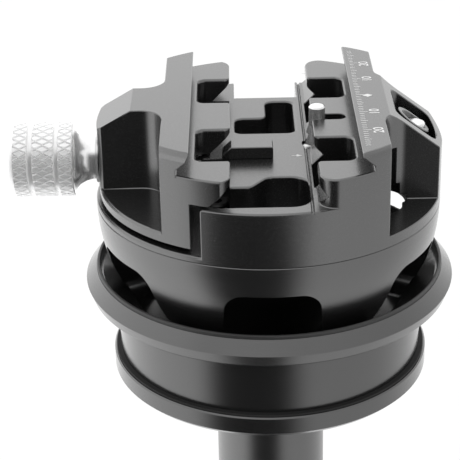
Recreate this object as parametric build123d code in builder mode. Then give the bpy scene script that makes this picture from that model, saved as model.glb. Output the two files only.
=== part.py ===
from build123d import *
import os
from math import asin, cos, radians, sin, sqrt, tan

os.makedirs("parts", exist_ok=True)

# Levelling tripod head with a dual clamp. Millimetres, +Z up, -Y towards the user.
# The origin is on the axis, at the seat under the bowl's rim.

# Half ball
ball_r = 37.5
ball_centre_z = 21.0
ball_clearance = 0.05
ball_wall = 4.2
ball_top_plate = 4.0
ball_foot_land = 2.2
hub_r = 15.0
hub_floor_z = -9.0
window_count = 6
window_top_z = 14.2
window_foot_z = -1.5
window_top_width = 19.0
window_foot_width = 22.0
window_corner = 4.0
port_inner_r = 24.5
port_outer_r = 31.0
port_angle = 40.0

# Bowl
rim_flare = 2.35
rim_edge_z = 2.8
rim_foot_inset = 0.9
rim_foot_z = 0.4
rim_land = 0.1
rim_top_z = 5.5
drum_r = 34.0
drum_step = 0.15
drum_step_z = -10.5
drum_foot_z = -14.6
drum_bore_r = 30.5
web_thickness = 3.45
web_hole_r = 14.4
seat_top_z = 0.0
lip_throat_r = 37.0
liner_wall = 0.75
liner_gap = 0.1
liner_foot_z = 4.3
liner_height = 2.0

# Base flange
seal_thickness = 0.5
seal_r = 34.9
flange_r = 35.4
flange_height = 4.8
flange_chamfer = 1.0
flange_inner_r = 28.0
flange_screw_count = 6
flange_screw_r = 1.2
flange_screw_head_r = 2.3
flange_screw_ring_r = 32.2
flange_screw_length = 11.0
first_screw_angle = 30.0

# Clamping stack under the bowl's web
slip_gap = 0.05
slip_thickness = 1.0
slip_hole_r = 12.4
slip_r = 21.3
cup_r = 20.0
cup_rim = 1.5
cup_boss_r = 12.0
cup_foot_z = -25.5
spring_disc_r = 9.0
spring_disc_thickness = 0.8
spring_disc_rise = 0.6
thrust_washer_r = 11.0
thrust_washer_thickness = 1.5

# Tie bolt and handle column
bolt_r = 4.0
bolt_head_r = 6.5
bolt_head_height = 8.0
bolt_head_fit = 0.1
bolt_socket = 6.0
bolt_length = 52.0
screw_fit = 0.05
tube_r = 12.4
tube_wall = 1.5
tube_length = 74.0
handle_gap = 0.1
nut_length = 18.0
cross_pin_r = 1.5
cap_thickness = 3.0
cap_plug_length = 9.0
cap_chamfer = 0.8

# Clamp body
seam_gap = 0.05
disc_top_z = 23.5
recess_floor_z = 22.5
relief_floor_z = 24.0
clamp_r = ball_r

# Insets and drops of the turned top edge, from the wall up
fixed_bevel = [(0, 2.1), (0.2, 0.65), (0.95, 0)]
floor_z = 32.95
pad_z = 39.05
jaw_top_z = 43.4
block_left_x = -14.2
fixed_lip_x = 18.05
lip_width = 5.95
lip_undercut = 2.6
lip_land = 0.7
lip_strip = 0.9
lip_strip_drop = 0.12
rail_foot_x = 9.0
rail_apex_x = 11.2
rail_apex_z = 35.15
rail_lip_x = 9.5
seam_x = 8.1
seam_width = 0.45
seam_depth = 0.4
fixed_pad_corner = 3.2
fixed_slot_corner = 1.0
fixed_slot_x = 17.3
slot_corner = 1.8

# Each slot runs from a near to a far Y
fixed_slots = [(-24.9, -12.6), (10.6, 22.8)]
moving_slots = [(-24.0, -7.4), (8.7, 22.9)]

# Reliefs in the block under the moving pads
relief_depth = 5.8
relief_near_y = -25.5
relief_far_y = 25.0
guide_wall = 0.7

# Windows in the channel floor
rear_window_left_x = -7.0
rear_window_step_x = 0.0
rear_window_right_x = 6.1
rear_window_near_y = 5.3
rear_window_step_y = 13.9
rear_window_far_y = 24.1
front_window_near_y = -33.4
front_window_left_y = -24.0
front_window_right_y = -19.0
front_window_bend_x = (-4.0, -0.5)
front_window_right_x = 8.0
front_window_corner = 4.0
front_window_bend = 2.4
front_window_wall = 2.6
rear_notch_y = 26.9
rear_notch_foot_z = 26.0
rear_notch_x = 0.1
rear_notch_width = 14.4

# Block outside the fixed jaw, with its rib pocket and foot reliefs
fixed_block_half = 10.3
fixed_slope_x = 25.2
fixed_slope_angle = 37.0
fixed_block_corner = 5.0
rib_wall = 2.8
rib_outer_wall = 1.4
pocket_inset = 10.5
pocket_corner = 1.8
lobe_inset = 6.0
lobe_r = 3.4
lobe_drop = 1.0
lobe_neck_half = 2.8
lobe_neck_top_z = 34.0
foot_relief_x = 23.6
foot_relief_y = 12.6
foot_relief_r = 4.6
foot_relief_height = 6.2
upper_relief_r = 3.7
upper_relief_height = 14.4
port_relief_height = 3.6

# Moving jaw, in the open position of the photograph
jaw_inset = 0.8
jaw_bevel = [(0, 1.3), (1.5, 0.9), (2.4, 0)]
jaw_foot_z = 23.4
jaw_plate_height = 2.15
jaw_lip_x = -16.3
jaw_overhang_gap = 0.4
jaw_pad_lip_x = -8.1
jaw_pad_lip = 1.3
jaw_pad_corner = 3.5
jaw_slot_corner = 1.2
jaw_slot_x = -15.2
jaw_block_half = 6.8
jaw_slope_x = -29.0
jaw_slope_angle = 30.0
jaw_corner = 5.0
jaw_edge_chamfer = 0.7
spot_face_depth = 0.2
spot_face_r = 5.8
jaw_travel_in = 2.0

# Jaw screw with its barrel nut, knob and clip
jaw_screw_z = 30.2
jaw_screw_r = 2.0
jaw_screw_clear = 0.15
screw_tip_gap = 0.3
nut_r = 2.45
nut_foot_z = 25.0
nut_top_z = 37.0
washer_r = 5.5
washer_thickness = 0.6
collar_r = 5.0
collar_length = 4.6
collar_flare_r = 8.0
collar_flare_length = 4.0
knob_r = 8.25
knob_length = 13.7
knob_dome = 0.9
knob_groove_r = 7.3
knob_edge = 0.4
knob_bore_length = 9.0
outer_groove_at = 8.6
outer_groove_width = 1.3
inner_groove_at = 3.1
inner_groove_width = 1.1
clip_r = 3.0
clip_thickness = 0.7
clip_recess_r = 3.6
clip_recess = 1.5

# Guide pins of the moving jaw
guide_y = 6.7
guide_z = 29.4
guide_r = 1.5
guide_fit = 0.05
guide_in_block = 6.5
guide_out = 6.0
guide_spring_wall = 0.55
guide_spring_fit = 0.1
guide_spring_recess = 3.6

# Stop pin in the fixed pad, pushed up by a spring under its foot
stop_x = 10.6
stop_y = -1.1
stop_r = 1.75
stop_rise = 2.5
stop_fit = 0.05
stop_travel = 2.3
stop_foot_r = 2.9
stop_foot_z = 33.4
stop_cone_top_z = 37.4
stop_bore_r = 3.3
stop_foot_gap = 0.2
stop_saddle_gap = 0.3
stop_saddle_z = 35.6
stop_spring_y = -3.25
stop_spring_r = 0.7
stop_spring_wall = 0.3
stop_spring_foot_z = 26.6
stop_slot_width = 3.3
stop_slot_end_x = 16.8
stop_slot_depth = 4.5

# Lug across the rail channel
lug_near_y = -9.4
lug_far_y = -5.2
lug_left_x = -9.8
lug_right_x = 1.0
lug_height = 2.7
lug_tenon = 1.2
lug_tenon_inset = 1.0
lug_fit = 0.02
lug_chamfer = 1.8

# Screws that hold the clamp to the half ball, in the floors of the reliefs and slots
clamp_screw_r = 1.5
clamp_screw_head_r = 2.75
clamp_screw_head = 3.0
clamp_screw_socket = 2.5
clamp_screw_left_x = -11.3
clamp_screw_right_x = 14.2
clamp_screw_y = 17.0

edge_break = 0.4
small_edge = 0.3

# Longer than the clamp in every direction, for cuts that go right through
deep = 2 * clamp_r


def sphere_z(r, radius):
    """Height of the lower half of a sphere about the ball's centre."""
    return ball_centre_z - sqrt(radius ** 2 - r ** 2)


def sphere_mid(r_a, r_b, radius):
    """Point half way along the arc of such a sphere between two radii."""
    angle = (asin(r_a / radius) + asin(r_b / radius)) / 2
    return (radius * sin(angle), ball_centre_z - radius * cos(angle))


def strip(from_x, to_x, near_y, far_y):
    """Rectangle between X and Y limits, in the sketch that is open."""
    with Locations((from_x, near_y)):
        Rectangle(to_x - from_x, far_y - near_y, align=(Align.MIN, Align.MIN))


def pad_plan(lip_x, root_x, slots, corner, end_corner):
    """Plan of the pads between the slots, with rounded corners along the channel."""
    limits = [-clamp_r]
    for slot in slots:
        limits.extend(slot)
    limits.append(clamp_r)
    with BuildSketch() as pads:
        for near_y, far_y in zip(limits[::2], limits[1::2]):
            strip(min(lip_x, root_x), max(lip_x, root_x), near_y, far_y)
        Circle(clamp_r, mode=Mode.INTERSECT)
        lip = pads.vertices().filter_by(lambda v: abs(v.X - lip_x) < seam_gap).sort_by(Axis.Y)
        fillet([lip[0], lip[-1]], end_corner)
        lip = pads.vertices().filter_by(lambda v: abs(v.X - lip_x) < seam_gap).sort_by(Axis.Y)
        fillet(lip[1:-1], corner)
    return pads.sketch


def turned_outside(radius, bevel):
    """Turned outside of a jaw, its top edge cut back in steps of inset and drop."""
    rim = [(radius - inset, jaw_top_z - drop) for inset, drop in bevel]
    with BuildPart() as outside:
        with BuildSketch(Plane.XZ):
            Polygon(
                (0, clamp_foot_z), (radius, clamp_foot_z), *rim, (0, jaw_top_z), align=None
            )
        revolve(axis=Axis.Z)
    return outside.part


def turned_rims(builder, radius, height):
    """Edges of a turned outside at one height."""
    rims = builder.edges().filter_by(GeomType.CIRCLE).filter_by_position(
        Axis.Z, height - seam_gap, height + seam_gap
    )
    return rims.filter_by(lambda e: abs(e.radius - radius) < seam_gap)


def break_rim(plan, top_z):
    """Break the top edges of a pocket with this plan, in the part that is open."""
    with BuildSketch(Plane.XY.offset(top_z - edge_break)) as rim:
        add(plan.sketch_local)
    extrude(rim.sketch, amount=edge_break, taper=-45, mode=Mode.SUBTRACT)


def save(part, name):
    part.label = name
    export_step(part, f"parts/{name}.step")


# Bowl: rim, drum and the spherical web that the ball is clamped to
seat_r = ball_r + ball_clearance
web_r = seat_r + web_thickness
seat_end_r = sqrt(seat_r ** 2 - (ball_centre_z - seat_top_z) ** 2)
web_end_z = sphere_z(drum_bore_r, web_r)
liner_inner_r = ball_r + liner_gap
liner_outer_r = liner_inner_r + liner_wall
rim_top_r = liner_outer_r + rim_land
rim_r = rim_top_r + rim_flare
rim_foot_r = rim_r - rim_foot_inset

with BuildPart() as bowl:
    with BuildSketch(Plane.XZ):
        with BuildLine():
            Line((web_hole_r, sphere_z(web_hole_r, web_r)), (web_hole_r, sphere_z(web_hole_r, seat_r)))
            ThreePointArc(
                (web_hole_r, sphere_z(web_hole_r, seat_r)),
                sphere_mid(web_hole_r, seat_end_r, seat_r),
                (seat_end_r, seat_top_z),
            )
            Polyline(
                (seat_end_r, seat_top_z),
                (lip_throat_r, liner_foot_z),
                (liner_outer_r, liner_foot_z),
                (liner_outer_r, rim_top_z),
                (rim_top_r, rim_top_z),
                (rim_r, rim_edge_z),
                (rim_foot_r, rim_foot_z),
                (rim_foot_r - rim_foot_z, 0),
                (drum_r, 0),
                (drum_r, drum_step_z),
                (drum_r - drum_step, drum_step_z),
                (drum_r - drum_step, drum_foot_z),
                (drum_bore_r, drum_foot_z),
                (drum_bore_r, web_end_z),
            )
            ThreePointArc(
                (drum_bore_r, web_end_z),
                sphere_mid(web_hole_r, drum_bore_r, web_r),
                (web_hole_r, sphere_z(web_hole_r, web_r)),
            )
        make_face()
    revolve(axis=Axis.Z)
    with BuildSketch(Plane.XY.offset(drum_foot_z)):
        with PolarLocations(flange_screw_ring_r, flange_screw_count, start_angle=first_screw_angle):
            Circle(flange_screw_r)
    extrude(amount=flange_screw_length - flange_height, mode=Mode.SUBTRACT)
save(bowl.part, "bowl")

with BuildPart() as bowl_liner:
    with BuildSketch(Plane.XY.offset(liner_foot_z)):
        Circle(liner_outer_r)
        Circle(liner_inner_r, mode=Mode.SUBTRACT)
    extrude(amount=liner_height)
    fillet(bowl_liner.faces().sort_by(Axis.Z)[-1].edges(), small_edge)
save(bowl_liner.part, "bowl_liner")

# Flange under the drum, with its seal and screws
flange_top_z = drum_foot_z - seal_thickness
flange_foot_z = flange_top_z - flange_height

with BuildPart() as flange_seal:
    with BuildSketch(Plane.XY.offset(flange_top_z)):
        Circle(seal_r)
        Circle(drum_bore_r, mode=Mode.SUBTRACT)
        with PolarLocations(flange_screw_ring_r, flange_screw_count, start_angle=first_screw_angle):
            Circle(flange_screw_r, mode=Mode.SUBTRACT)
    extrude(amount=seal_thickness)
save(flange_seal.part, "flange_seal")

with BuildPart() as base_flange:
    with BuildSketch(Plane.XY.offset(flange_foot_z)):
        Circle(flange_r)
        Circle(flange_inner_r, mode=Mode.SUBTRACT)
    extrude(amount=flange_height)
    outer_rims = base_flange.edges().filter_by(GeomType.CIRCLE).group_by(SortBy.RADIUS)[-1]
    chamfer(outer_rims.sort_by(Axis.Z)[0], flange_chamfer)
    chamfer(outer_rims.sort_by(Axis.Z)[-1], small_edge)
    with Locations(Plane.XY.offset(flange_foot_z).rotated((180, 0, 0))):
        with PolarLocations(flange_screw_ring_r, flange_screw_count, start_angle=first_screw_angle):
            CounterSinkHole(flange_screw_r, flange_screw_head_r, flange_height)
save(base_flange.part, "base_flange")

with BuildPart() as flange_screw:
    with BuildSketch(Plane.XZ):
        with Locations((flange_screw_ring_r, flange_foot_z)):
            Polygon(
                (0, 0),
                (flange_screw_head_r, 0),
                (flange_screw_r, flange_screw_head_r - flange_screw_r),
                (flange_screw_r, flange_screw_length),
                (0, flange_screw_length),
                align=None,
            )
    revolve(axis=Axis((flange_screw_ring_r, 0, 0), (0, 0, 1)))
    with BuildSketch(Plane.XY.offset(flange_foot_z)):
        with Locations((flange_screw_ring_r, 0)):
            RegularPolygon(flange_screw_r / 2, 6)
    extrude(amount=flange_screw_r, mode=Mode.SUBTRACT)
flange_screw_set = Compound(
    children=[
        flange_screw.part.rotate(Axis.Z, first_screw_angle + 360 / flange_screw_count * turn)
        for turn in range(flange_screw_count)
    ]
)
save(flange_screw_set, "flange_screws")

# Slip shell and pressure cup, both centred on the ball
slip_top_r = web_r + slip_gap
slip_low_r = slip_top_r + slip_thickness
cup_top_r = slip_low_r + slip_gap

with BuildPart() as slip_shell:
    with BuildSketch(Plane.XZ):
        with BuildLine():
            ThreePointArc(
                (slip_hole_r, sphere_z(slip_hole_r, slip_top_r)),
                sphere_mid(slip_hole_r, slip_r, slip_top_r),
                (slip_r, sphere_z(slip_r, slip_top_r)),
            )
            Line((slip_r, sphere_z(slip_r, slip_top_r)), (slip_r, sphere_z(slip_r, slip_low_r)))
            ThreePointArc(
                (slip_r, sphere_z(slip_r, slip_low_r)),
                sphere_mid(slip_hole_r, slip_r, slip_low_r),
                (slip_hole_r, sphere_z(slip_hole_r, slip_low_r)),
            )
            Line(
                (slip_hole_r, sphere_z(slip_hole_r, slip_low_r)),
                (slip_hole_r, sphere_z(slip_hole_r, slip_top_r)),
            )
        make_face()
    revolve(axis=Axis.Z)
save(slip_shell.part, "slip_shell")

bolt_hole_r = bolt_r + screw_fit
cup_edge_z = sphere_z(cup_r, cup_top_r)

with BuildPart() as pressure_cup:
    with BuildSketch(Plane.XZ):
        with BuildLine():
            ThreePointArc(
                (bolt_hole_r, sphere_z(bolt_hole_r, cup_top_r)),
                sphere_mid(bolt_hole_r, cup_r, cup_top_r),
                (cup_r, cup_edge_z),
            )
            Polyline(
                (cup_r, cup_edge_z),
                (cup_r, cup_edge_z - cup_rim),
                (cup_boss_r, cup_foot_z),
                (bolt_hole_r, cup_foot_z),
                (bolt_hole_r, sphere_z(bolt_hole_r, cup_top_r)),
            )
        make_face()
    revolve(axis=Axis.Z)
save(pressure_cup.part, "pressure_cup")

# Two coned spring discs, outer edges together
with BuildPart() as upper_disc:
    with BuildSketch(Plane.XZ):
        with Locations((0, cup_foot_z)):
            Polygon(
                (bolt_hole_r, 0),
                (spring_disc_r, -spring_disc_rise),
                (spring_disc_r, -spring_disc_rise - spring_disc_thickness),
                (bolt_hole_r, -spring_disc_thickness),
                align=None,
            )
    revolve(axis=Axis.Z)
disc_pair_height = 2 * (spring_disc_rise + spring_disc_thickness)
lower_disc = upper_disc.part.mirror(Plane.XY.offset(cup_foot_z - disc_pair_height / 2))
save(Compound(children=[upper_disc.part, lower_disc]), "disc_springs")

washer_top_z = cup_foot_z - disc_pair_height
handle_top_z = washer_top_z - thrust_washer_thickness - handle_gap

with BuildPart() as thrust_washer:
    with BuildSketch(Plane.XY.offset(washer_top_z)):
        Circle(thrust_washer_r)
        Circle(bolt_hole_r, mode=Mode.SUBTRACT)
    extrude(amount=-thrust_washer_thickness)
save(thrust_washer.part, "thrust_washer")

# Handle column: tube, threaded insert with its cross pin, end cap
tube_inner_r = tube_r - tube_wall
tube_foot_z = handle_top_z - tube_length
cross_pin_z = handle_top_z - nut_length / 2

with BuildPart() as handle_tube:
    with BuildSketch(Plane.XY.offset(handle_top_z)):
        Circle(tube_r)
        Circle(tube_inner_r, mode=Mode.SUBTRACT)
    extrude(amount=-tube_length)
    chamfer(handle_tube.faces().sort_by(Axis.Z)[-1].edges(), small_edge)
    with BuildSketch(Plane.YZ):
        with Locations((0, cross_pin_z)):
            Circle(cross_pin_r)
    extrude(amount=deep, both=True, mode=Mode.SUBTRACT)
save(handle_tube.part, "handle_tube")

with BuildPart() as handle_nut:
    with BuildSketch(Plane.XY.offset(handle_top_z)):
        Circle(tube_inner_r)
        Circle(bolt_hole_r, mode=Mode.SUBTRACT)
    extrude(amount=-nut_length)
    with BuildSketch(Plane.YZ):
        with Locations((0, cross_pin_z)):
            Circle(cross_pin_r)
    extrude(amount=deep, both=True, mode=Mode.SUBTRACT)
save(handle_nut.part, "handle_nut")

with BuildPart() as handle_pin:
    for side in (-1, 1):
        with BuildSketch(Plane.YZ.offset(side * (bolt_hole_r + handle_gap))):
            with Locations((0, cross_pin_z)):
                Circle(cross_pin_r)
        extrude(amount=side * (tube_r - bolt_hole_r - 2 * handle_gap))
save(handle_pin.part, "handle_pin")

with BuildPart() as handle_cap:
    with BuildSketch(Plane.XY.offset(tube_foot_z)):
        Circle(tube_r)
    extrude(amount=-cap_thickness)
    with BuildSketch(Plane.XY.offset(tube_foot_z)):
        Circle(tube_inner_r)
    extrude(amount=cap_plug_length)
    chamfer(handle_cap.faces().sort_by(Axis.Z)[0].edges(), cap_chamfer)
save(handle_cap.part, "handle_cap")

# Half ball: a windowed shell with a hub and a top plate
ball_inner_r = ball_r - ball_wall
plate_foot_z = ball_centre_z - ball_top_plate
hub_seat_z = hub_floor_z + bolt_head_height
head_bore_r = bolt_head_r + bolt_head_fit
ball_foot_r = head_bore_r + ball_foot_land
inner_plate_r = sqrt(ball_inner_r ** 2 - ball_top_plate ** 2)
head_seat_z = hub_floor_z
port_mid_r = (port_inner_r + port_outer_r) / 2
clamp_screw_spots = [
    (clamp_screw_left_x, -clamp_screw_y),
    (clamp_screw_left_x, clamp_screw_y),
    (clamp_screw_right_x, -clamp_screw_y),
    (clamp_screw_right_x, clamp_screw_y),
]

with BuildPart() as half_ball:
    with BuildSketch(Plane.XZ):
        with BuildLine():
            Polyline(
                (ball_foot_r, sphere_z(ball_foot_r, ball_r)),
                (0, sphere_z(ball_foot_r, ball_r)),
                (0, ball_centre_z),
                (ball_r, ball_centre_z),
            )
            ThreePointArc(
                (ball_r, ball_centre_z),
                sphere_mid(ball_foot_r, ball_r, ball_r),
                (ball_foot_r, sphere_z(ball_foot_r, ball_r)),
            )
        make_face()
        # Ring-shaped hollow between the hub and the shell
        with BuildLine():
            Line((hub_r, plate_foot_z), (inner_plate_r, plate_foot_z))
            ThreePointArc(
                (inner_plate_r, plate_foot_z),
                sphere_mid(hub_r, inner_plate_r, ball_inner_r),
                (hub_r, sphere_z(hub_r, ball_inner_r)),
            )
            Line((hub_r, sphere_z(hub_r, ball_inner_r)), (hub_r, plate_foot_z))
        make_face(mode=Mode.SUBTRACT)
    revolve(axis=Axis.Z)
    # Rounded windows, wider towards the rim
    for turn in range(window_count):
        window_plane = Plane.XZ.rotated((0, 0, 360 / window_count * turn))
        with BuildSketch(window_plane.offset(hub_r)) as window_sketch:
            Polygon(
                (-window_foot_width / 2, window_foot_z),
                (window_foot_width / 2, window_foot_z),
                (window_top_width / 2, window_top_z),
                (-window_top_width / 2, window_top_z),
                align=None,
            )
            fillet(window_sketch.vertices(), window_corner)
        extrude(amount=ball_r, mode=Mode.SUBTRACT)
    # Ports through the top plate
    with BuildSketch(Plane.XY.offset(ball_centre_z)):
        with PolarLocations(0, window_count):
            SlotArc(
                CenterArc((0, 0), port_mid_r, -port_angle / 2, port_angle, mode=Mode.PRIVATE),
                port_outer_r - port_inner_r,
            )
    extrude(amount=-ball_top_plate, mode=Mode.SUBTRACT)
    # Hub bore with a pocket for the bolt's head
    with BuildSketch(Plane.XY.offset(ball_centre_z)):
        Circle(head_bore_r)
    extrude(amount=head_seat_z - ball_centre_z, mode=Mode.SUBTRACT)
    with BuildSketch(Plane.XY.offset(ball_centre_z)):
        Circle(bolt_hole_r)
    extrude(amount=-deep, mode=Mode.SUBTRACT)
    # Tapped holes for the clamp's screws
    with BuildSketch(Plane.XY.offset(ball_centre_z)):
        with Locations(clamp_screw_spots):
            Circle(clamp_screw_r + screw_fit)
    extrude(amount=-ball_top_plate, mode=Mode.SUBTRACT)
save(half_ball.part, "half_ball")

with BuildPart() as tie_bolt:
    with BuildSketch(Plane.XY.offset(hub_floor_z)):
        Circle(bolt_head_r)
    extrude(amount=bolt_head_height)
    chamfer(tie_bolt.faces().sort_by(Axis.Z)[-1].edges(), edge_break)
    with BuildSketch(Plane.XY.offset(hub_seat_z)):
        RegularPolygon(bolt_socket / 2, 6, major_radius=False)
    extrude(amount=-bolt_head_height / 2, mode=Mode.SUBTRACT)
    with BuildSketch(Plane.XY.offset(hub_floor_z)):
        Circle(bolt_r)
    extrude(amount=-bolt_length)
save(tie_bolt.part, "tie_bolt")

# Clamp body: disc, channel block and fixed jaw
clamp_foot_z = ball_centre_z + seam_gap
jaw_r = clamp_r - jaw_inset
pocket_x = clamp_r - pocket_inset
lobe_x = clamp_r - lobe_inset
fixed_slope_fall = deep * tan(radians(fixed_slope_angle))
lobe_slope_z = jaw_top_z - lobe_drop
fixed_outer_x = fixed_lip_x + lip_width
fixed_notch_x = fixed_lip_x + lip_undercut
lip_foot_z = jaw_top_z - lip_land
notch_z = lip_foot_z - lip_undercut
pocket_half = fixed_block_half - rib_wall
relief_inner_x = block_left_x + relief_depth
core_half = guide_y + guide_r + guide_wall
stop_bore_top_z = stop_cone_top_z - (stop_bore_r - stop_r) / (stop_foot_r - stop_r) * (
    stop_cone_top_z - stop_foot_z
)
stop_bore_z = stop_foot_z - stop_travel - stop_foot_gap
fixed_pads = pad_plan(rail_lip_x, fixed_slot_x, fixed_slots, fixed_slot_corner, fixed_pad_corner)

fixed_outside = turned_outside(clamp_r, fixed_bevel)

# Lobe that holds the nut, with a neck to the fixed jaw
with BuildPart() as nut_lobe:
    with BuildSketch(Plane.XY.offset(clamp_foot_z)):
        with Locations((lobe_x, 0)):
            Circle(lobe_r)
    extrude(amount=jaw_top_z - clamp_foot_z)
    with BuildSketch(Plane.XZ):
        Polygon(
            (fixed_slope_x, jaw_top_z + deep),
            (fixed_slope_x, lobe_slope_z),
            (fixed_slope_x + deep, lobe_slope_z - fixed_slope_fall),
            (fixed_slope_x + deep, jaw_top_z + deep),
            align=None,
        )
    extrude(amount=deep, both=True, mode=Mode.SUBTRACT)
    with BuildSketch(Plane.XY.offset(disc_top_z)):
        strip(pocket_x - lobe_r, lobe_x, -lobe_neck_half, lobe_neck_half)
    extrude(amount=lobe_neck_top_z - disc_top_z)

with BuildPart() as clamp_body:
    # Channel block and fixed jaw, above the disc
    with BuildSketch(Plane.XZ):
        Polygon(
            (block_left_x, clamp_foot_z),
            (block_left_x, floor_z),
            (rail_foot_x, floor_z),
            (rail_apex_x, rail_apex_z),
            (rail_lip_x, rail_apex_z + rail_apex_x - rail_lip_x),
            (rail_lip_x, pad_z),
            (fixed_notch_x, pad_z),
            (fixed_notch_x, notch_z),
            (fixed_lip_x, lip_foot_z),
            (fixed_lip_x, jaw_top_z - lip_strip_drop),
            (fixed_lip_x + lip_strip, jaw_top_z),
            (fixed_outer_x, jaw_top_z),
            (fixed_outer_x, clamp_foot_z),
            align=None,
        )
    extrude(amount=deep, both=True)
    # Block outside the fixed jaw, with round inside corners and a sloped top
    with BuildSketch(Plane.XY.offset(clamp_foot_z)) as fixed_block_plan:
        strip(fixed_notch_x, fixed_outer_x, -deep, deep)
        strip(fixed_outer_x, deep, -fixed_block_half, fixed_block_half)
        wall_corners = fixed_block_plan.vertices().filter_by_position(Axis.Y, -clamp_r, clamp_r)
        fillet(wall_corners.group_by(Axis.X)[0], fixed_block_corner)
    extrude(amount=jaw_top_z - clamp_foot_z)
    with BuildSketch(Plane.XZ):
        Polygon(
            (fixed_slope_x, jaw_top_z),
            (fixed_slope_x + deep, jaw_top_z),
            (fixed_slope_x + deep, jaw_top_z - fixed_slope_fall),
            align=None,
        )
    extrude(amount=deep, both=True, mode=Mode.SUBTRACT)
    # Disc that sits on the half ball
    with BuildSketch(Plane.XY.offset(clamp_foot_z)):
        Rectangle(2 * deep, 2 * deep)
    extrude(amount=disc_top_z - clamp_foot_z)
    add(fixed_outside, mode=Mode.INTERSECT)
    # Recess that clears the moving jaw's plate
    with BuildSketch(Plane.XY.offset(recess_floor_z)):
        strip(-deep, block_left_x, -deep, deep)
    extrude(amount=deep, mode=Mode.SUBTRACT)
    # Open reliefs under the moving pads, each side of the guide pins
    with BuildSketch(Plane.XY.offset(relief_floor_z)):
        strip(block_left_x, relief_inner_x, relief_near_y, -core_half)
        strip(block_left_x, relief_inner_x, core_half, relief_far_y)
    extrude(amount=deep, mode=Mode.SUBTRACT)
    # Slots in the fixed pad, open to the channel
    with BuildSketch(Plane.XY.offset(relief_floor_z)) as fixed_slot_plan:
        for near_y, far_y in fixed_slots:
            strip(rail_foot_x, fixed_slot_x, near_y, far_y)
        fillet(fixed_slot_plan.vertices().group_by(Axis.X)[-1], slot_corner)
    extrude(amount=deep, mode=Mode.SUBTRACT)
    break_rim(fixed_slot_plan, pad_z)
    # Round corners of the fixed pads, the front one down to the channel floor
    with BuildSketch(Plane.XY.offset(rail_apex_z)):
        strip(rail_foot_x, fixed_slot_x - slot_corner, -deep, deep)
        add(fixed_pads, mode=Mode.SUBTRACT)
    extrude(amount=deep, mode=Mode.SUBTRACT)
    with BuildSketch(Plane.XY.offset(floor_z)):
        strip(rail_foot_x, fixed_slot_x, -deep, fixed_slots[0][0] - fixed_slot_corner)
        add(fixed_pads, mode=Mode.SUBTRACT)
    extrude(amount=rail_apex_z - floor_z, mode=Mode.SUBTRACT)
    # Windows in the channel floor
    with BuildSketch(Plane.XY.offset(relief_floor_z)) as rear_window:
        strip(rear_window_left_x, rear_window_right_x, rear_window_near_y, rear_window_step_y)
        strip(rear_window_step_x, rear_window_right_x, rear_window_near_y, rear_window_far_y)
        fillet(rear_window.vertices(), slot_corner)
    extrude(amount=deep, mode=Mode.SUBTRACT)
    break_rim(rear_window, floor_z)
    with BuildSketch(Plane.XY.offset(relief_floor_z)) as front_window:
        Polygon(
            (block_left_x - deep, front_window_near_y),
            (front_window_right_x, front_window_near_y),
            (front_window_right_x, front_window_right_y),
            (front_window_bend_x[1], front_window_right_y),
            (front_window_bend_x[0], front_window_left_y),
            (block_left_x - deep, front_window_left_y),
            align=None,
        )
        fillet(front_window.vertices().group_by(Axis.X)[-1], front_window_corner)
        fillet(front_window.vertices().group_by(Axis.X)[1:3], front_window_bend)
        Circle(clamp_r - front_window_wall, mode=Mode.INTERSECT)
        strip(-deep, block_left_x, -deep, deep)
    extrude(amount=deep, mode=Mode.SUBTRACT)
    break_rim(front_window, floor_z)
    # Open rear end of the channel
    with BuildSketch(Plane.XY.offset(rear_notch_foot_z)):
        strip(rear_notch_x - rear_notch_width / 2, rear_notch_x + rear_notch_width / 2, rear_notch_y, deep)
    extrude(amount=deep, mode=Mode.SUBTRACT)
    # Pocket between the ribs, and the nut's lobe that stands in it
    with BuildSketch(Plane.XY.offset(ball_centre_z)) as pocket:
        Circle(clamp_r - rib_outer_wall)
        with Locations((pocket_x, 0)):
            Rectangle(deep, 2 * pocket_half, align=(Align.MIN, Align.CENTER), mode=Mode.INTERSECT)
        fillet(pocket.vertices(), pocket_corner)
    extrude(amount=deep, mode=Mode.SUBTRACT)
    # Stepped round reliefs at the foot of the fixed jaw, and one over the half ball's port
    for relief_r, relief_height in (
        (foot_relief_r, foot_relief_height),
        (upper_relief_r, upper_relief_height),
    ):
        with BuildSketch(Plane.XY.offset(ball_centre_z)):
            with Locations((foot_relief_x, -foot_relief_y), (foot_relief_x, foot_relief_y)):
                Circle(relief_r)
        extrude(amount=relief_height, mode=Mode.SUBTRACT)
    with BuildSketch(Plane.XY.offset(ball_centre_z)):
        SlotArc(
            CenterArc((0, 0), port_mid_r, -port_angle / 2, port_angle, mode=Mode.PRIVATE),
            port_outer_r - port_inner_r,
        )
    extrude(amount=port_relief_height, mode=Mode.SUBTRACT)
    add(nut_lobe.part)
    # Jaw screw, barrel nut and guide pins
    with BuildSketch(Plane.YZ.offset(block_left_x - seam_gap)):
        with Locations((0, jaw_screw_z)):
            Circle(jaw_screw_r + jaw_screw_clear)
    extrude(amount=clamp_r - rib_outer_wall - block_left_x, mode=Mode.SUBTRACT)
    with BuildSketch(Plane.XY.offset(nut_foot_z)):
        with Locations((lobe_x, 0)):
            Circle(nut_r + screw_fit)
    extrude(amount=deep, mode=Mode.SUBTRACT)
    with BuildSketch(Plane.YZ.offset(block_left_x)):
        with Locations((-guide_y, guide_z), (guide_y, guide_z)):
            Circle(guide_r)
    extrude(amount=guide_in_block, mode=Mode.SUBTRACT)
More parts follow.
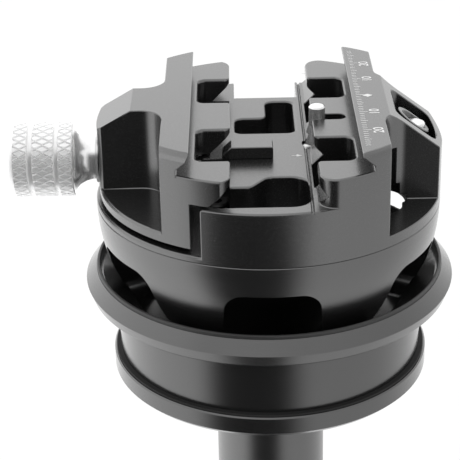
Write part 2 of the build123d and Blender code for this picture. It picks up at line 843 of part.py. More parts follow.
    # Stop pin: guide hole, cone seat, bore for the foot, spring hole and top slot
    with BuildSketch(Plane.XZ.offset(-stop_y)):
        with Locations((stop_x, 0)):
            Polygon(
                (0, stop_bore_z),
                (stop_bore_r + stop_fit, stop_bore_z),
                (stop_bore_r + stop_fit, stop_bore_top_z),
                (stop_r + stop_fit, stop_cone_top_z),
                (stop_r + stop_fit, pad_z + stop_rise),
                (0, pad_z + stop_rise),
                align=None,
            )
    revolve(axis=Axis((stop_x, stop_y, 0), (0, 0, 1)), mode=Mode.SUBTRACT)
    with BuildSketch(Plane.XY.offset(stop_spring_foot_z)):
        with Locations((stop_x, stop_spring_y)):
            Circle(stop_spring_r + screw_fit)
    extrude(amount=stop_bore_z - stop_spring_foot_z, mode=Mode.SUBTRACT)
    with BuildSketch(Plane.XY.offset(pad_z - stop_slot_depth)):
        with Locations((stop_slot_end_x - stop_slot_width / 2, stop_y)):
            Circle(stop_slot_width / 2)
        strip(
            stop_x,
            stop_slot_end_x - stop_slot_width / 2,
            stop_y - stop_slot_width / 2,
            stop_y + stop_slot_width / 2,
        )
    extrude(amount=stop_slot_depth, mode=Mode.SUBTRACT)
    # Tenon slot of the lug, and the seam groove along the rail
    with BuildSketch(Plane.XY.offset(floor_z)):
        strip(
            lug_left_x + lug_tenon_inset - lug_fit,
            lug_right_x - lug_tenon_inset + lug_fit,
            lug_near_y + lug_tenon_inset - lug_fit,
            lug_far_y - lug_tenon_inset + lug_fit,
        )
    extrude(amount=-lug_tenon - lug_fit, mode=Mode.SUBTRACT)
    with BuildSketch(Plane.XY.offset(floor_z)):
        strip(seam_x - seam_width / 2, seam_x + seam_width / 2, -deep, deep)
    extrude(amount=-seam_depth, mode=Mode.SUBTRACT)
    # Clearance holes for the screws into the half ball
    with BuildSketch(Plane.XY.offset(relief_floor_z)):
        with Locations(clamp_screw_spots):
            Circle(clamp_screw_r + screw_fit)
    extrude(amount=-deep, mode=Mode.SUBTRACT)
    # Broken edges round the turned outside
    chamfer(turned_rims(clamp_body, clamp_r, recess_floor_z), edge_break)
    chamfer(turned_rims(clamp_body, clamp_r, pad_z), edge_break)
    chamfer(turned_rims(clamp_body, clamp_r, floor_z).sort_by(SortBy.LENGTH)[-1], edge_break)
save(clamp_body.part, "clamp_body")

# Cap screws from the relief floors into the half ball's top plate
with BuildPart() as clamp_screw:
    with BuildSketch(Plane.XY.offset(relief_floor_z)):
        Circle(clamp_screw_head_r)
    extrude(amount=clamp_screw_head)
    chamfer(clamp_screw.faces().sort_by(Axis.Z)[-1].edges(), small_edge)
    with BuildSketch(Plane.XY.offset(relief_floor_z + clamp_screw_head)):
        RegularPolygon(clamp_screw_socket / 2, 6, major_radius=False)
    extrude(amount=-clamp_screw_head / 2, mode=Mode.SUBTRACT)
    with BuildSketch(Plane.XY.offset(relief_floor_z)):
        Circle(clamp_screw_r)
    extrude(amount=plate_foot_z - relief_floor_z)
clamp_screw_set = Compound(
    children=[clamp_screw.part.translate((x, y, 0)) for x, y in clamp_screw_spots]
)
save(clamp_screw_set, "clamp_screws")

# Lug that a rail's cross slot drops over
with BuildPart() as recoil_lug:
    with BuildSketch(Plane.XY.offset(floor_z)):
        strip(lug_left_x, lug_right_x, lug_near_y, lug_far_y)
    extrude(amount=lug_height)
    top_edges = recoil_lug.faces().sort_by(Axis.Z)[-1].edges().filter_by(Axis.Y)
    chamfer(top_edges.sort_by(Axis.X)[0], lug_chamfer)
    chamfer(top_edges.sort_by(Axis.X)[-1], small_edge)
    with BuildSketch(Plane.XY.offset(floor_z)):
        strip(
            lug_left_x + lug_tenon_inset,
            lug_right_x - lug_tenon_inset,
            lug_near_y + lug_tenon_inset,
            lug_far_y - lug_tenon_inset,
        )
    extrude(amount=-lug_tenon)
save(recoil_lug.part, "recoil_lug")

# Barrel nut, upright in the lobe
with BuildPart() as barrel_nut:
    with BuildSketch(Plane.XY.offset(nut_foot_z)):
        with Locations((lobe_x, 0)):
            Circle(nut_r)
    extrude(amount=nut_top_z - nut_foot_z)
    chamfer(barrel_nut.faces().sort_by(Axis.Z)[-1].edges(), small_edge)
    with BuildSketch(Plane.YZ):
        with Locations((0, jaw_screw_z)):
            Circle(jaw_screw_r + screw_fit)
    extrude(amount=deep, mode=Mode.SUBTRACT)
save(barrel_nut.part, "barrel_nut")

# Guide pins, fixed in the block, and the springs round them, as long as with the jaw closed
with BuildPart() as guide_pins:
    with BuildSketch(Plane.YZ.offset(block_left_x + guide_in_block)):
        with Locations((-guide_y, guide_z), (guide_y, guide_z)):
            Circle(guide_r)
    extrude(amount=-guide_in_block - guide_out)
    chamfer(guide_pins.faces().group_by(Axis.X)[0].edges(), small_edge)
save(guide_pins.part, "guide_pins")

guide_spring_inner_r = guide_r + guide_spring_fit
guide_spring_outer_r = guide_spring_inner_r + guide_spring_wall
closed_length = block_left_x - jaw_lip_x + guide_spring_recess - jaw_travel_in

with BuildPart() as jaw_springs:
    with BuildSketch(Plane.YZ.offset(block_left_x)):
        with Locations((-guide_y, guide_z), (guide_y, guide_z)):
            Circle(guide_spring_outer_r)
            Circle(guide_spring_inner_r, mode=Mode.SUBTRACT)
    extrude(amount=-closed_length)
save(jaw_springs.part, "jaw_springs")

# Moving jaw
jaw_outer_x = jaw_lip_x - lip_width
jaw_notch_x = jaw_lip_x - lip_undercut
jaw_plate_top_z = jaw_foot_z + jaw_plate_height
overhang_z = floor_z + jaw_overhang_gap
undercut_top_z = pad_z - jaw_pad_lip
undercut_x = jaw_pad_lip_x - (undercut_top_z - overhang_z)
clip_recess_x = jaw_lip_x - clip_recess
spot_face_x = spot_face_depth - jaw_r
jaw_outside = turned_outside(jaw_r, jaw_bevel)
moving_pads = pad_plan(jaw_pad_lip_x, jaw_slot_x, moving_slots, jaw_slot_corner, jaw_pad_corner)

with BuildPart() as moving_jaw:
    with BuildSketch(Plane.XZ):
        Polygon(
            (jaw_lip_x, jaw_foot_z),
            (jaw_lip_x, overhang_z),
            (undercut_x, overhang_z),
            (jaw_pad_lip_x, undercut_top_z),
            (jaw_pad_lip_x, pad_z),
            (jaw_notch_x, pad_z),
            (jaw_notch_x, notch_z),
            (jaw_lip_x, lip_foot_z),
            (jaw_lip_x, jaw_top_z),
            (jaw_outer_x, jaw_top_z),
            (jaw_outer_x, jaw_plate_top_z),
            (-deep, jaw_plate_top_z),
            (-deep, jaw_foot_z),
            align=None,
        )
    extrude(amount=deep, both=True)
    with BuildSketch(Plane.XY.offset(jaw_foot_z)) as jaw_block_plan:
        strip(jaw_outer_x, jaw_notch_x, -deep, deep)
        strip(-deep, jaw_outer_x, -jaw_block_half, jaw_block_half)
        wall_corners = jaw_block_plan.vertices().filter_by_position(Axis.Y, -clamp_r, clamp_r)
        fillet(wall_corners.group_by(Axis.X)[-1], jaw_corner)
    extrude(amount=jaw_top_z - jaw_foot_z)
    with BuildSketch(Plane.XZ):
        Polygon(
            (jaw_slope_x, jaw_top_z),
            (jaw_slope_x - deep, jaw_top_z),
            (jaw_slope_x - deep, jaw_top_z - deep * tan(radians(jaw_slope_angle))),
            align=None,
        )
    extrude(amount=deep, both=True, mode=Mode.SUBTRACT)
    add(jaw_outside, mode=Mode.INTERSECT)
    block_corners = moving_jaw.edges().filter_by(Axis.Z).filter_by(
        lambda e: abs(abs(e.center().Y) - jaw_block_half) < seam_gap and e.center().X < jaw_slope_x
    )
    chamfer(block_corners, jaw_edge_chamfer)
    # Slots in the pad, and its round corners along the channel
    with BuildSketch(Plane.XY.offset(overhang_z)) as jaw_slot_plan:
        for near_y, far_y in moving_slots:
            strip(jaw_slot_x, jaw_pad_lip_x, near_y, far_y)
        fillet(jaw_slot_plan.vertices().group_by(Axis.X)[0], slot_corner)
    extrude(amount=deep, mode=Mode.SUBTRACT)
    break_rim(jaw_slot_plan, pad_z)
    with BuildSketch(Plane.XY.offset(overhang_z)):
        strip(jaw_slot_x + slot_corner, jaw_pad_lip_x, -deep, deep)
        add(moving_pads, mode=Mode.SUBTRACT)
    extrude(amount=deep, mode=Mode.SUBTRACT)
    # Spot face for the knob's washer, screw hole and clip recess
    with BuildSketch(Plane.YZ.offset(spot_face_x)):
        with Locations((0, jaw_screw_z)):
            Circle(spot_face_r)
    extrude(amount=-deep, mode=Mode.SUBTRACT)
    with BuildSketch(Plane.YZ):
        with Locations((0, jaw_screw_z)):
            Circle(jaw_screw_r + screw_fit)
    extrude(amount=-deep, mode=Mode.SUBTRACT)
    with BuildSketch(Plane.YZ.offset(clip_recess_x)):
        with Locations((0, jaw_screw_z)):
            Circle(clip_recess_r)
    extrude(amount=clip_recess, mode=Mode.SUBTRACT)
    # Guide pin holes and the recesses of their springs
    with BuildSketch(Plane.YZ.offset(jaw_lip_x)):
        with Locations((-guide_y, guide_z), (guide_y, guide_z)):
            Circle(guide_r + guide_fit)
    extrude(amount=block_left_x - guide_out - jaw_travel_in - small_edge - jaw_lip_x, mode=Mode.SUBTRACT)
    with BuildSketch(Plane.YZ.offset(jaw_lip_x)):
        with Locations((-guide_y, guide_z), (guide_y, guide_z)):
            Circle(guide_spring_outer_r + jaw_screw_clear)
    extrude(amount=-guide_spring_recess, mode=Mode.SUBTRACT)
    # Broken edges round the turned outside
    for height in (jaw_plate_top_z, pad_z):
        chamfer(turned_rims(moving_jaw, jaw_r, height), edge_break)
save(moving_jaw.part, "moving_jaw")

# Jaw screw with its knob, collar, washer and clip
screw_axis = Axis((0, 0, jaw_screw_z), (1, 0, 0))
screw_plane = Plane((0, 0, jaw_screw_z), x_dir=(1, 0, 0), z_dir=(0, -1, 0))
screw_hole_r = jaw_screw_r + screw_fit
washer_x = spot_face_x - washer_thickness
knob_x = washer_x - collar_length
knob_end_x = knob_x - knob_length
screw_end_x = knob_x - knob_bore_length
# The tip stops short of the outer wall with the jaw closed
screw_tip_x = clamp_r - rib_outer_wall - jaw_travel_in - screw_tip_gap

with BuildPart() as jaw_screw:
    with BuildSketch(Plane.YZ.offset(screw_end_x)):
        with Locations((0, jaw_screw_z)):
            Circle(jaw_screw_r)
    extrude(amount=screw_tip_x - screw_end_x)
    chamfer(jaw_screw.faces().sort_by(Axis.X)[-1].edges(), edge_break)
save(jaw_screw.part, "jaw_screw")

with BuildPart() as clamp_knob:
    with BuildSketch(screw_plane):
        with BuildLine():
            Polyline(
                (screw_end_x, screw_hole_r),
                (knob_x, screw_hole_r),
                (knob_x, knob_r - knob_edge),
                (knob_x - knob_edge, knob_r),
                (knob_x - inner_groove_at, knob_r),
                (knob_x - inner_groove_at, knob_groove_r),
                (knob_x - inner_groove_at - inner_groove_width, knob_groove_r),
                (knob_x - inner_groove_at - inner_groove_width, knob_r),
                (knob_x - outer_groove_at, knob_r),
                (knob_x - outer_groove_at, knob_groove_r),
                (knob_x - outer_groove_at - outer_groove_width, knob_groove_r),
                (knob_x - outer_groove_at - outer_groove_width, knob_r),
                (knob_end_x + knob_edge, knob_r),
                (knob_end_x, knob_r - knob_edge),
            )
            TangentArc(
                (knob_end_x - knob_dome, 0), (knob_end_x, knob_r - knob_edge), tangent=(0, 1)
            )
            Polyline((knob_end_x - knob_dome, 0), (screw_end_x, 0), (screw_end_x, screw_hole_r))
        make_face()
    revolve(axis=screw_axis)
save(clamp_knob.part, "clamp_knob")

with BuildPart() as knob_collar:
    with BuildSketch(screw_plane):
        with BuildLine():
            EllipticalCenterArc(
                (knob_x + collar_flare_length, collar_flare_r),
                collar_flare_length,
                collar_flare_r - collar_r,
                start_angle=180,
                arc_size=90,
            )
            Polyline(
                (knob_x + collar_flare_length, collar_r),
                (washer_x, collar_r),
                (washer_x, screw_hole_r),
                (knob_x, screw_hole_r),
                (knob_x, collar_flare_r),
            )
        make_face()
    revolve(axis=screw_axis)
save(knob_collar.part, "knob_collar")

with BuildPart() as knob_washer:
    with BuildSketch(Plane.YZ.offset(washer_x)):
        with Locations((0, jaw_screw_z)):
            Circle(washer_r)
            Circle(screw_hole_r, mode=Mode.SUBTRACT)
    extrude(amount=washer_thickness)
save(knob_washer.part, "knob_washer")

with BuildPart() as screw_clip:
    with BuildSketch(Plane.YZ.offset(clip_recess_x)):
        with Locations((0, jaw_screw_z)):
            Circle(clip_r)
            Circle(screw_hole_r, mode=Mode.SUBTRACT)
    extrude(amount=clip_thickness)
save(screw_clip.part, "screw_clip")

# Stop pin, its foot cut away beside the jaw screw, and the spring under it
saddle_y = -jaw_screw_r - jaw_screw_clear - stop_saddle_gap

with BuildPart() as stop_pin:
    with BuildSketch(Plane.XZ.offset(-stop_y)):
        with Locations((stop_x, 0)):
            Polygon(
                (0, stop_foot_z),
                (stop_foot_r, stop_foot_z),
                (stop_r, stop_cone_top_z),
                (stop_r, pad_z + stop_rise - small_edge),
                (stop_r - small_edge, pad_z + stop_rise),
                (0, pad_z + stop_rise),
                align=None,
            )
    revolve(axis=Axis((stop_x, stop_y, 0), (0, 0, 1)))
    with BuildSketch(Plane.XY.offset(stop_saddle_z)):
        strip(stop_x - deep, stop_x + deep, saddle_y, deep)
    extrude(amount=stop_foot_z - stop_saddle_z, mode=Mode.SUBTRACT)
save(stop_pin.part, "stop_pin")

with BuildPart() as stop_spring:
    with BuildSketch(Plane.XY.offset(stop_spring_foot_z)):
        with Locations((stop_x, stop_spring_y)):
            Circle(stop_spring_r)
            Circle(stop_spring_r - stop_spring_wall, mode=Mode.SUBTRACT)
    extrude(amount=stop_foot_z - stop_spring_foot_z)
save(stop_spring.part, "stop_spring")
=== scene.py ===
from math import ceil, cos, pi, radians, sin, tan, tau

import bmesh
import bpy
from mathutils import Matrix, Vector


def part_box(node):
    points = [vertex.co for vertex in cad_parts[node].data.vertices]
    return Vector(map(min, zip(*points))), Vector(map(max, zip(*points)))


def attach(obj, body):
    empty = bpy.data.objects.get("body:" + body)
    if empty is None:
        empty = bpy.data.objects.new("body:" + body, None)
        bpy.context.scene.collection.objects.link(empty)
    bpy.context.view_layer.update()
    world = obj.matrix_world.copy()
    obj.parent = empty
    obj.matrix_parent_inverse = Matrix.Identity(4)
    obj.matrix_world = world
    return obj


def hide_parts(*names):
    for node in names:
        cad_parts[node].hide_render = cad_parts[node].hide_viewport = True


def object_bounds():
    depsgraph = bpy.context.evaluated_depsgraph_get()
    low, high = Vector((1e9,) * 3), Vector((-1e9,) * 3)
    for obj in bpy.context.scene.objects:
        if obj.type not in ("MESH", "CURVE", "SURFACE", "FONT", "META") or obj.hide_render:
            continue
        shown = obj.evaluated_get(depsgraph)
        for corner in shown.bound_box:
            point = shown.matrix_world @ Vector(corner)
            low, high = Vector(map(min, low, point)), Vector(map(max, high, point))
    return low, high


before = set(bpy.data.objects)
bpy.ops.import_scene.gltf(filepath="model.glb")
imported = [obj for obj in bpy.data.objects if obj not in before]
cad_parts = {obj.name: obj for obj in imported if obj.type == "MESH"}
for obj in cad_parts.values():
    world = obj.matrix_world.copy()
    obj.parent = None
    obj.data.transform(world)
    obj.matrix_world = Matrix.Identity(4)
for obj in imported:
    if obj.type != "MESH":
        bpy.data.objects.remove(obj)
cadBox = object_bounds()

mm = 0.001
weld = 1e-6                    # metres, points of a mesh nearer than this are merged
fineWeld = 1e-7
print("frame loaded:", len(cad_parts), "nodes")


class Wire:
    # A shader socket that takes part in sums; node() makes every other node
    def __init__(self, socket):
        self.socket = socket

    def part(self, index):
        return Wire(self.socket.node.outputs[index])

    def node(self, kind, settings, sockets):
        tree = self.socket.id_data
        made = tree.nodes.new(kind)
        for key, value in settings.items():
            setattr(made, key, value)
        for key, value in sockets.items():
            if isinstance(value, Wire):
                tree.links.new(value.socket, made.inputs[key])
            else:
                made.inputs[key].default_value = value
        return Wire(made.outputs[0]) if made.outputs else None

    def math(self, operation, first, second=0.0):
        return self.node("ShaderNodeMath", {"operation": operation}, {0: first, 1: second})

    def __add__(self, other):
        return self.math("ADD", self, other)

    def __sub__(self, other):
        return self.math("SUBTRACT", self, other)

    def __rsub__(self, other):
        return self.math("SUBTRACT", other, self)

    def __mul__(self, other):
        return self.math("MULTIPLY", self, other)

    def __pow__(self, other):
        return self.math("POWER", self, other)

    __radd__ = __add__
    __rmul__ = __mul__


def startTree(tree, kind, output):
    tree.nodes.clear()
    return Wire(tree.nodes.new(kind).outputs[output])


def startFinish(name):
    finish = bpy.data.materials.new(name)
    finish.use_nodes = True
    return finish, startTree(finish.node_tree, "ShaderNodeTexCoord", "Object")


def endFinish(place, look, tone, roughness, height):
    bump = {"Strength": 1.0, "Distance": look["depth"], "Height": height}
    normal = place.node("ShaderNodeBump", {}, bump)
    shader = place.node("ShaderNodeBsdfPrincipled", {}, {
        "Base Color": tone,
        "Metallic": look["metallic"],
        "Roughness": roughness,
        "IOR": look["gloss"],
        "Normal": normal,
    })
    place.node("ShaderNodeOutputMaterial", {}, {"Surface": shader})


# Finer layers in each noise pattern, whose values lie round patternMiddle
softDetail = 2.0
grainDetail = 3.0
ringDetail = 4.0
patternMiddle = 0.5


def noise(place, size, detail):
    return place.node("ShaderNodeTexNoise", {}, {"Vector": place, "Scale": 1 / size, "Detail": detail})


def unevenTone(look, pattern):
    return look["tone"] * (1 - look["uneven"] + pattern * (2 * look["uneven"]))


def unevenRoughness(look, pattern):
    return look["roughness"] + (pattern - patternMiddle) * look["sparkle"]


# Fine blasted metal, plain or dyed
def blastedFinish(name, look):
    finish, place = startFinish(name)
    grain = noise(place, look["grain"], grainDetail)
    cloud = noise(place, look["cloud"], softDetail)
    endFinish(place, look, unevenTone(look, cloud), unevenRoughness(look, grain), grain)
    return finish


# Turned metal with fine rings round the axis it was turned on
def turnedFinish(name, look):
    finish, place = startFinish(name)
    x = place.node("ShaderNodeSeparateXYZ", {}, {"Vector": place})
    if look["axis"] == "Z":
        across, other, along = x, x.part(1), x.part(2)
    else:
        across, other, along = x.part(1), x.part(2) - look["axisHeight"], x
    radius = (across * across + other * other) ** 0.5
    rings = place.node("ShaderNodeCombineXYZ", {}, {0: radius, 1: along})
    ring = noise(rings, look["ring"], ringDetail)
    grain = noise(place, look["grain"], softDetail)
    height = ring + grain * look["scratch"]
    endFinish(place, look, unevenTone(look, ring), unevenRoughness(look, ring), height)
    return finish


# Polymer, rubber and paint
def plainFinish(name, look):
    finish, place = startFinish(name)
    grain = noise(place, look["grain"], grainDetail)
    endFinish(place, look, unevenTone(look, grain), unevenRoughness(look, grain), grain)
    return finish


# gloss is the index of refraction, higher on the dyed black layer than on plastic.
# grain, cloud, ring and depth are lengths, scratch is the grain's share of the rings' depth.
clampLook = {
    "tone": 0.009, "metallic": 0.0, "gloss": 2.2, "roughness": 0.26, "grain": 0.12 * mm,
    "cloud": 9 * mm, "uneven": 0.15, "sparkle": 0.08, "depth": 0.0015 * mm,
}
ballLook = {
    "tone": 0.009, "metallic": 0.0, "gloss": 2.15, "roughness": 0.25, "axis": "Z",
    "ring": 0.35 * mm, "grain": 0.15 * mm, "scratch": 0.3, "uneven": 0.15, "sparkle": 0.1,
    "depth": 0.0008 * mm,
}
bowlLook = dict(ballLook, gloss=2.0)
handleLook = dict(ballLook, roughness=0.34, ring=0.6 * mm)
silverLook = {
    "tone": 0.93, "metallic": 0.58, "gloss": 1.5, "roughness": 0.36, "grain": 0.2 * mm,
    "cloud": 4 * mm, "uneven": 0.05, "sparkle": 0.1, "depth": 0.002 * mm,
}
neckLook = dict(
    silverLook, metallic=0.85, roughness=0.24, axis="X", axisHeight=30.2 * mm, ring=0.5 * mm,
    scratch=0.3,
)
steelLook = dict(silverLook, tone=0.75, metallic=0.75, roughness=0.24)
screwLook = dict(silverLook, tone=0.05, metallic=0.9, roughness=0.34)
polymerLook = {
    "tone": 0.03, "metallic": 0.0, "gloss": 1.5, "roughness": 0.5, "grain": 0.3 * mm,
    "uneven": 0.08, "sparkle": 0.1, "depth": 0.01 * mm,
}
rubberLook = dict(polymerLook, tone=0.015, roughness=0.75)
paintLook = dict(polymerLook, tone=0.72, roughness=0.5, depth=0.002 * mm)

clampMetal = blastedFinish("clampMetal", clampLook)
ballMetal = turnedFinish("ballMetal", ballLook)
bowlMetal = turnedFinish("bowlMetal", bowlLook)
handleMetal = turnedFinish("handleMetal", handleLook)
knobSilver = blastedFinish("knobSilver", silverLook)
neckSilver = turnedFinish("neckSilver", neckLook)
groundSteel = blastedFinish("groundSteel", steelLook)
blackSteel = blastedFinish("blackSteel", screwLook)
bearingPolymer = plainFinish("bearingPolymer", polymerLook)
sealRubber = plainFinish("sealRubber", rubberLook)
whitePaint = plainFinish("whitePaint", paintLook)

finishOf = {
    "bowl": bowlMetal, "bowl_liner": bearingPolymer, "base_flange": bowlMetal,
    "flange_seal": sealRubber, "flange_screws": blackSteel, "slip_shell": bearingPolymer,
    "pressure_cup": bowlMetal, "disc_springs": groundSteel, "thrust_washer": groundSteel,
    "handle_tube": handleMetal, "handle_nut": groundSteel, "handle_pin": groundSteel,
    "handle_cap": handleMetal, "half_ball": ballMetal, "tie_bolt": blackSteel,
    "clamp_body": clampMetal, "clamp_screws": blackSteel, "recoil_lug": clampMetal,
    "barrel_nut": groundSteel, "guide_pins": groundSteel, "jaw_springs": groundSteel,
    "moving_jaw": clampMetal, "jaw_screw": groundSteel, "clamp_knob": knobSilver,
    "knob_collar": neckSilver, "knob_washer": groundSteel, "screw_clip": blackSteel,
    "stop_pin": groundSteel, "stop_spring": blackSteel,
}
for nodeName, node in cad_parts.items():
    node.data.materials.clear()
    node.data.materials.append(finishOf[nodeName])
print("finishes given to the nodes")


def makePiece(name, built, finish, body, sharpAngle=None):
    mesh = bpy.data.meshes.new(name)
    built.to_mesh(mesh)
    built.free()
    mesh.materials.append(finish)
    if sharpAngle:
        mesh.shade_smooth()
        mesh.set_sharp_from_angle(angle=radians(sharpAngle))
    piece = bpy.data.objects.new(name, mesh)
    bpy.context.scene.collection.objects.link(piece)
    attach(piece, body)
    return piece


# Machined pieces: their edges are broken, in a merged copy of the node's mesh
brokenEdges = {
    "width": 0.16 * mm,
    "gentlest": 30,            # degrees, a gentler edge stays as it is
    "flat": 1,                 # degrees, faces that bend less than this become one
    "shading": 20,             # degrees, a sharper bend shows as an edge
    "pieces": {
        "clamp_body": ("clampBlock", "ball", "clamp_anodised"),
        "moving_jaw": ("slidingJaw", "jaw", "clamp_anodised"),
        "recoil_lug": ("crossLug", "ball", "clamp_anodised"),
        "barrel_nut": ("barrelNut", "ball", "bright_steel"),
        "half_ball": ("windowedBall", "ball", "ball_anodised"),
    },
}


def breakEdges(nodeName, shape):
    built = bmesh.new()
    built.from_mesh(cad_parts[nodeName].data)
    bmesh.ops.remove_doubles(built, verts=built.verts, dist=weld)
    flat = radians(shape["flat"])
    bmesh.ops.dissolve_limit(built, angle_limit=flat, verts=built.verts, edges=built.edges)
    limit = radians(shape["gentlest"])
    sharp = [edge for edge in built.edges if edge.is_manifold and edge.calc_face_angle() > limit]
    bmesh.ops.bevel(
        built, geom=sharp, offset=shape["width"], offset_type="OFFSET", segments=1, profile=0.5,
        affect="EDGES", material=-1, clamp_overlap=False,
    )
    pieceName, body, slotName = shape["pieces"][nodeName]
    piece = makePiece(pieceName, built, finishOf[nodeName], body, shape["shading"])
    # A flat face keeps its own normal, whatever the small faces at its edges do
    piece.modifiers.new("evenShading", "WEIGHTED_NORMAL").keep_sharp = True
    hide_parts(nodeName)


for nodeName in brokenEdges["pieces"]:
    breakEdges(nodeName, brokenEdges)
print("edges broken on", len(brokenEdges["pieces"]), "pieces")

# Knob: a turned core with three knurled bands, places counted in mm from its back face
knobShape = {
    "bands": [(0.3, 3.1), (4.2, 8.6), (9.9, 12.8)],
    "around": 30,              # diamonds round the knob
    "slant": 30,               # degrees between a groove and the axis
    "depth": 0.42 * mm,
    "flank": 0.36 * mm,        # width of a diamond's sloped side
    "coreDepth": 0.5 * mm,     # from the knurl's tips down to the core
    "grooveDepth": 0.95 * mm,  # and down to the grooves between the bands
    "grooveSlope": 0.2,        # each groove's sloped side, as a share of its width
    "edge": 0.5 * mm,          # and down to the rim of each end
    "dome": 0.9 * mm,          # height of the outer end's dome
    "domeSteps": 8,
    "steps": 72,               # facets round the core
    "shading": 28,             # degrees, a sharper bend shows as an edge
}


def knurlBand(near, far, radius, shape):
    pitch = tau * radius / shape["around"]
    period = pitch / tan(radians(shape["slant"]))
    length = far - near
    columns = ceil(length / period) + 2         # one more than needed at each side, then trimmed
    rows = shape["around"] + 2
    band = bmesh.new()
    # A grid one unit wide, spread to the knurl's length and girth
    bmesh.ops.create_grid(band, x_segments=columns, y_segments=rows, size=0.5)
    bmesh.ops.scale(band, vec=(columns * period, rows * pitch, 1), verts=band.verts)
    lattice = band.edges[:]
    bmesh.ops.poke(band, faces=band.faces[:])
    inner = [edge for edge in lattice if not edge.is_boundary]
    bmesh.ops.dissolve_edges(band, edges=inner)
    diamonds = band.faces[:]
    bmesh.ops.inset_individual(band, faces=diamonds, thickness=shape["flank"], depth=shape["depth"])
    for normal, distance in (((1, 0, 0), length / 2), ((0, 1, 0), tau * radius / 2)):
        for side in (-1, 1):
            bmesh.ops.bisect_plane(
                band, geom=band.verts[:] + band.edges[:] + band.faces[:], dist=fineWeld,
                plane_co=Vector(normal) * distance * side, plane_no=Vector(normal) * side,
                clear_outer=True,
            )
    # Bend the flat knurl round the axis
    for vert in band.verts:
        angle = vert.co.y / radius
        reach = radius - shape["depth"] + vert.co.z
        vert.co = (vert.co.x, reach * sin(angle), reach * cos(angle))
    bmesh.ops.remove_doubles(band, verts=band.verts, dist=weld)
    # Its rims go down into the core
    rims = [edge for edge in band.edges if edge.is_boundary]
    walls = bmesh.ops.extrude_edge_only(band, edges=rims)["geom"]
    for vert in walls:
        if isinstance(vert, bmesh.types.BMVert):
            shrink = (radius - shape["grooveDepth"]) / Vector((0, vert.co.y, vert.co.z)).length
            vert.co.y *= shrink
            vert.co.z *= shrink
    bmesh.ops.translate(band, vec=(-(near + far) / 2, 0, 0), verts=band.verts)
    return band


# outline holds (along, radius) pairs, and the axis is X
def lathe(outline, steps):
    turned = bmesh.new()
    row = [turned.verts.new((along, 0, radius)) for along, radius in outline]
    rims = [turned.edges.new(pair) for pair in zip(row, row[1:])]
    bmesh.ops.spin(
        turned, geom=row + rims, cent=(0, 0, 0), axis=(1, 0, 0), angle=tau, steps=steps, use_merge=True,
    )
    bmesh.ops.remove_doubles(turned, verts=turned.verts, dist=fineWeld)
    bmesh.ops.recalc_face_normals(turned, faces=turned.faces)
    return turned


def join(target, other):
    spare = bpy.data.meshes.new("spare")
    other.to_mesh(spare)
    other.free()
    target.from_mesh(spare)
    bpy.data.meshes.remove(spare)


def makeKnob(shape):
    low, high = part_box("clamp_knob")
    radius = (high.z - low.z) / 2
    core = radius - shape["coreDepth"]
    groove = radius - shape["grooveDepth"]
    bands = [(near * mm, far * mm) for near, far in shape["bands"]]
    shoulder = radius - shape["edge"]
    lip = shoulder + shape["edge"] / 2
    first, last = bands[0][0], bands[-1][1]
    outline = [(0, 0), (0, shoulder), (-first, lip), (-first, core)]
    for (_, start), (end, _) in zip(bands, bands[1:]):
        slope = (end - start) * shape["grooveSlope"]
        outline += [(-start, core), (-start - slope, groove), (-end + slope, groove), (-end, core)]
    outline += [(-last, core), (-last, lip)]
    # The dome is a quarter of an ellipse
    crown = low.x - high.x + shape["dome"]
    for step in range(shape["domeSteps"] + 1):
        angle = pi / 2 * step / shape["domeSteps"]
        outline.append((crown - shape["dome"] * sin(angle), shoulder * cos(angle)))
    knob = lathe(outline, shape["steps"])
    for near, far in bands:
        join(knob, knurlBand(near, far, radius, shape))
    bmesh.ops.translate(knob, vec=(high.x, 0, (high.z + low.z) / 2), verts=knob.verts)
    piece = makePiece("knurledKnob", knob, knobSilver, "knob", shape["shading"])
    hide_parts("clamp_knob")


makeKnob(knobShape)
print("knob made")

# Painted marks on the clamp, in mm: the scale on the fixed jaw, and an arrow on the channel's floor
scaleShape = {
    "top": 43.4,               # of the fixed jaw
    "reach": 28,               # the last tick at each end
    "tickX": 18.95,            # where each tick starts
    "lengths": (1.0, 1.35, 1.75),       # of a tick, of every 5th and of every 10th
    "line": 0.2,               # width of a tick and of the arrow's stem
    "paint": 0.03,             # above the metal, and as much below it
    "numberX": 23.1,           # foot of the figures
    "numberSize": 3.0,
    "bold": 0.04,              # added round the figures
    "roundness": 3,            # steps in each curve of the figures
    "numbers": [(-20.2, "20"), (-9.9, "10"), (9.7, "10"), (19.4, "20")],
    "diamond": (21.45, -0.4),
    "diamondHalf": (1.12, 0.88),
    "floorTop": 32.95,         # of the channel
    "arrowStem": (4.9, 6.0),
    "arrowTip": 7.2,
    "arrowHalf": 0.65,
    "arrowY": -7.93,
}


def flatMark(marks, x0, x1, y0, y1, top, paint):
    size = Vector((x1 - x0, y1 - y0, 2 * paint)) * mm
    middle = Vector(((x0 + x1) / 2, (y0 + y1) / 2, top)) * mm
    place = Matrix.Translation(middle) @ Matrix.Diagonal((*size, 1))
    bmesh.ops.create_cube(marks, size=1.0, matrix=place)


def cornerMark(marks, corners, top, paint):
    foot = [marks.verts.new(Vector((x, y, top - paint)) * mm) for x, y in corners]
    face = marks.faces.new(foot)
    raised = bmesh.ops.extrude_face_region(marks, geom=[face])["geom"]
    lifted = [vert for vert in raised if isinstance(vert, bmesh.types.BMVert)]
    bmesh.ops.translate(marks, vec=(0, 0, 2 * paint * mm), verts=lifted)


